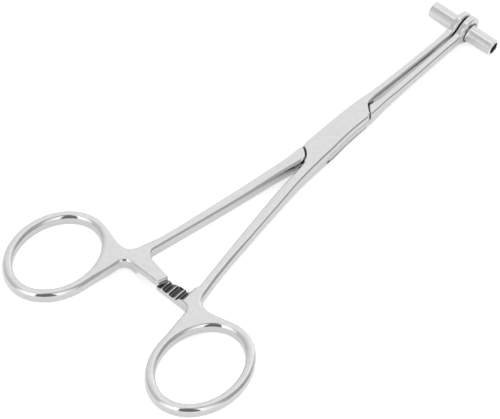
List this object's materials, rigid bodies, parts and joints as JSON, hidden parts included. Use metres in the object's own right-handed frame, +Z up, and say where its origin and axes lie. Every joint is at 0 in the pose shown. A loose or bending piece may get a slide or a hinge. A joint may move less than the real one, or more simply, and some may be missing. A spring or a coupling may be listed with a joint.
{
  "type": "piercing forceps",
  "caption": "Box-lock steel forceps with finger rings, a ratchet and slim jaws that end in round pads, each with a short open receiving tube.",
  "frame": {"origin": "centre of the bounding box, at its lowest point, with the forceps lying flat", "axes": "+X from the finger rings to the tubes, +Y to the male half's ring, +Z up through the lock's rivet"},
  "size_m": [0.1622, 0.0728, 0.0081],
  "materials": {
    "female_half": "polished",
    "male_half": "polished",
    "pivot_pin": "ground flush and polished",
    "female_tube": "polished",
    "male_tube": "polished"
  },
  "bodies": {
    "female": {"female_half": "female_half", "female_tube": "female_tube", "pivot_pin": "pivot_pin"},
    "male": {"male_half": "male_half", "male_tube": "male_tube"}
  },
  "joints": [
    {"name": "lock_hinge", "type": "hinge", "parent": "female", "child": "male", "pos_m": [0.01638, 0, 0.0034], "axis": [0, 0, -1], "range_deg": [0, 50]}
  ]
}
